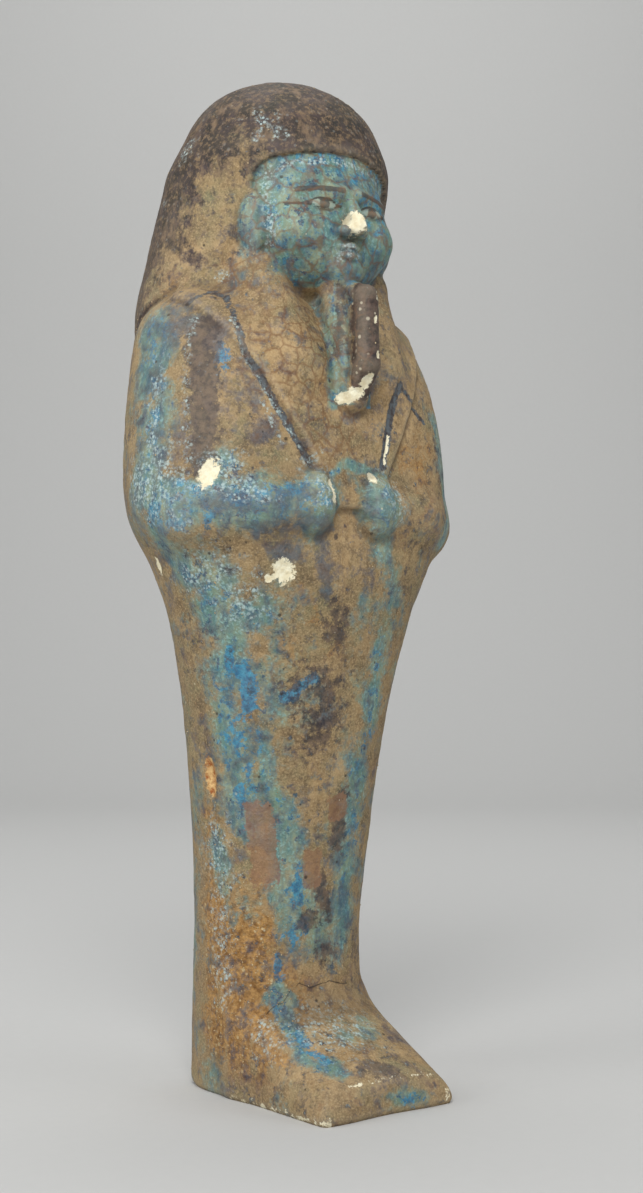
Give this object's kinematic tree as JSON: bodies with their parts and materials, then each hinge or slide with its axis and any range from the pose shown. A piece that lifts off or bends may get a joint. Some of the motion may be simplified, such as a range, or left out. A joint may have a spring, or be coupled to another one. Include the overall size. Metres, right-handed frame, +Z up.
{
  "type": "funerary figurine",
  "caption": "Standing mummy-shaped funerary figurine with a long wig, forearms laid across the belly, a narrow beard and a block foot, made as one solid piece.",
  "frame": {"origin": "on the sole, on the figure's upright axis", "axes": "+Z up along the figure, -Y the way the figure faces, +X to the figure's left hand"},
  "size_m": [0.0528, 0.0466, 0.15],
  "materials": {
    "faience": "worn blue-green glaze under a tan earth patina"
  },
  "bodies": {
    "root": {"figurine": "faience"}
  },
  "joints": []
}
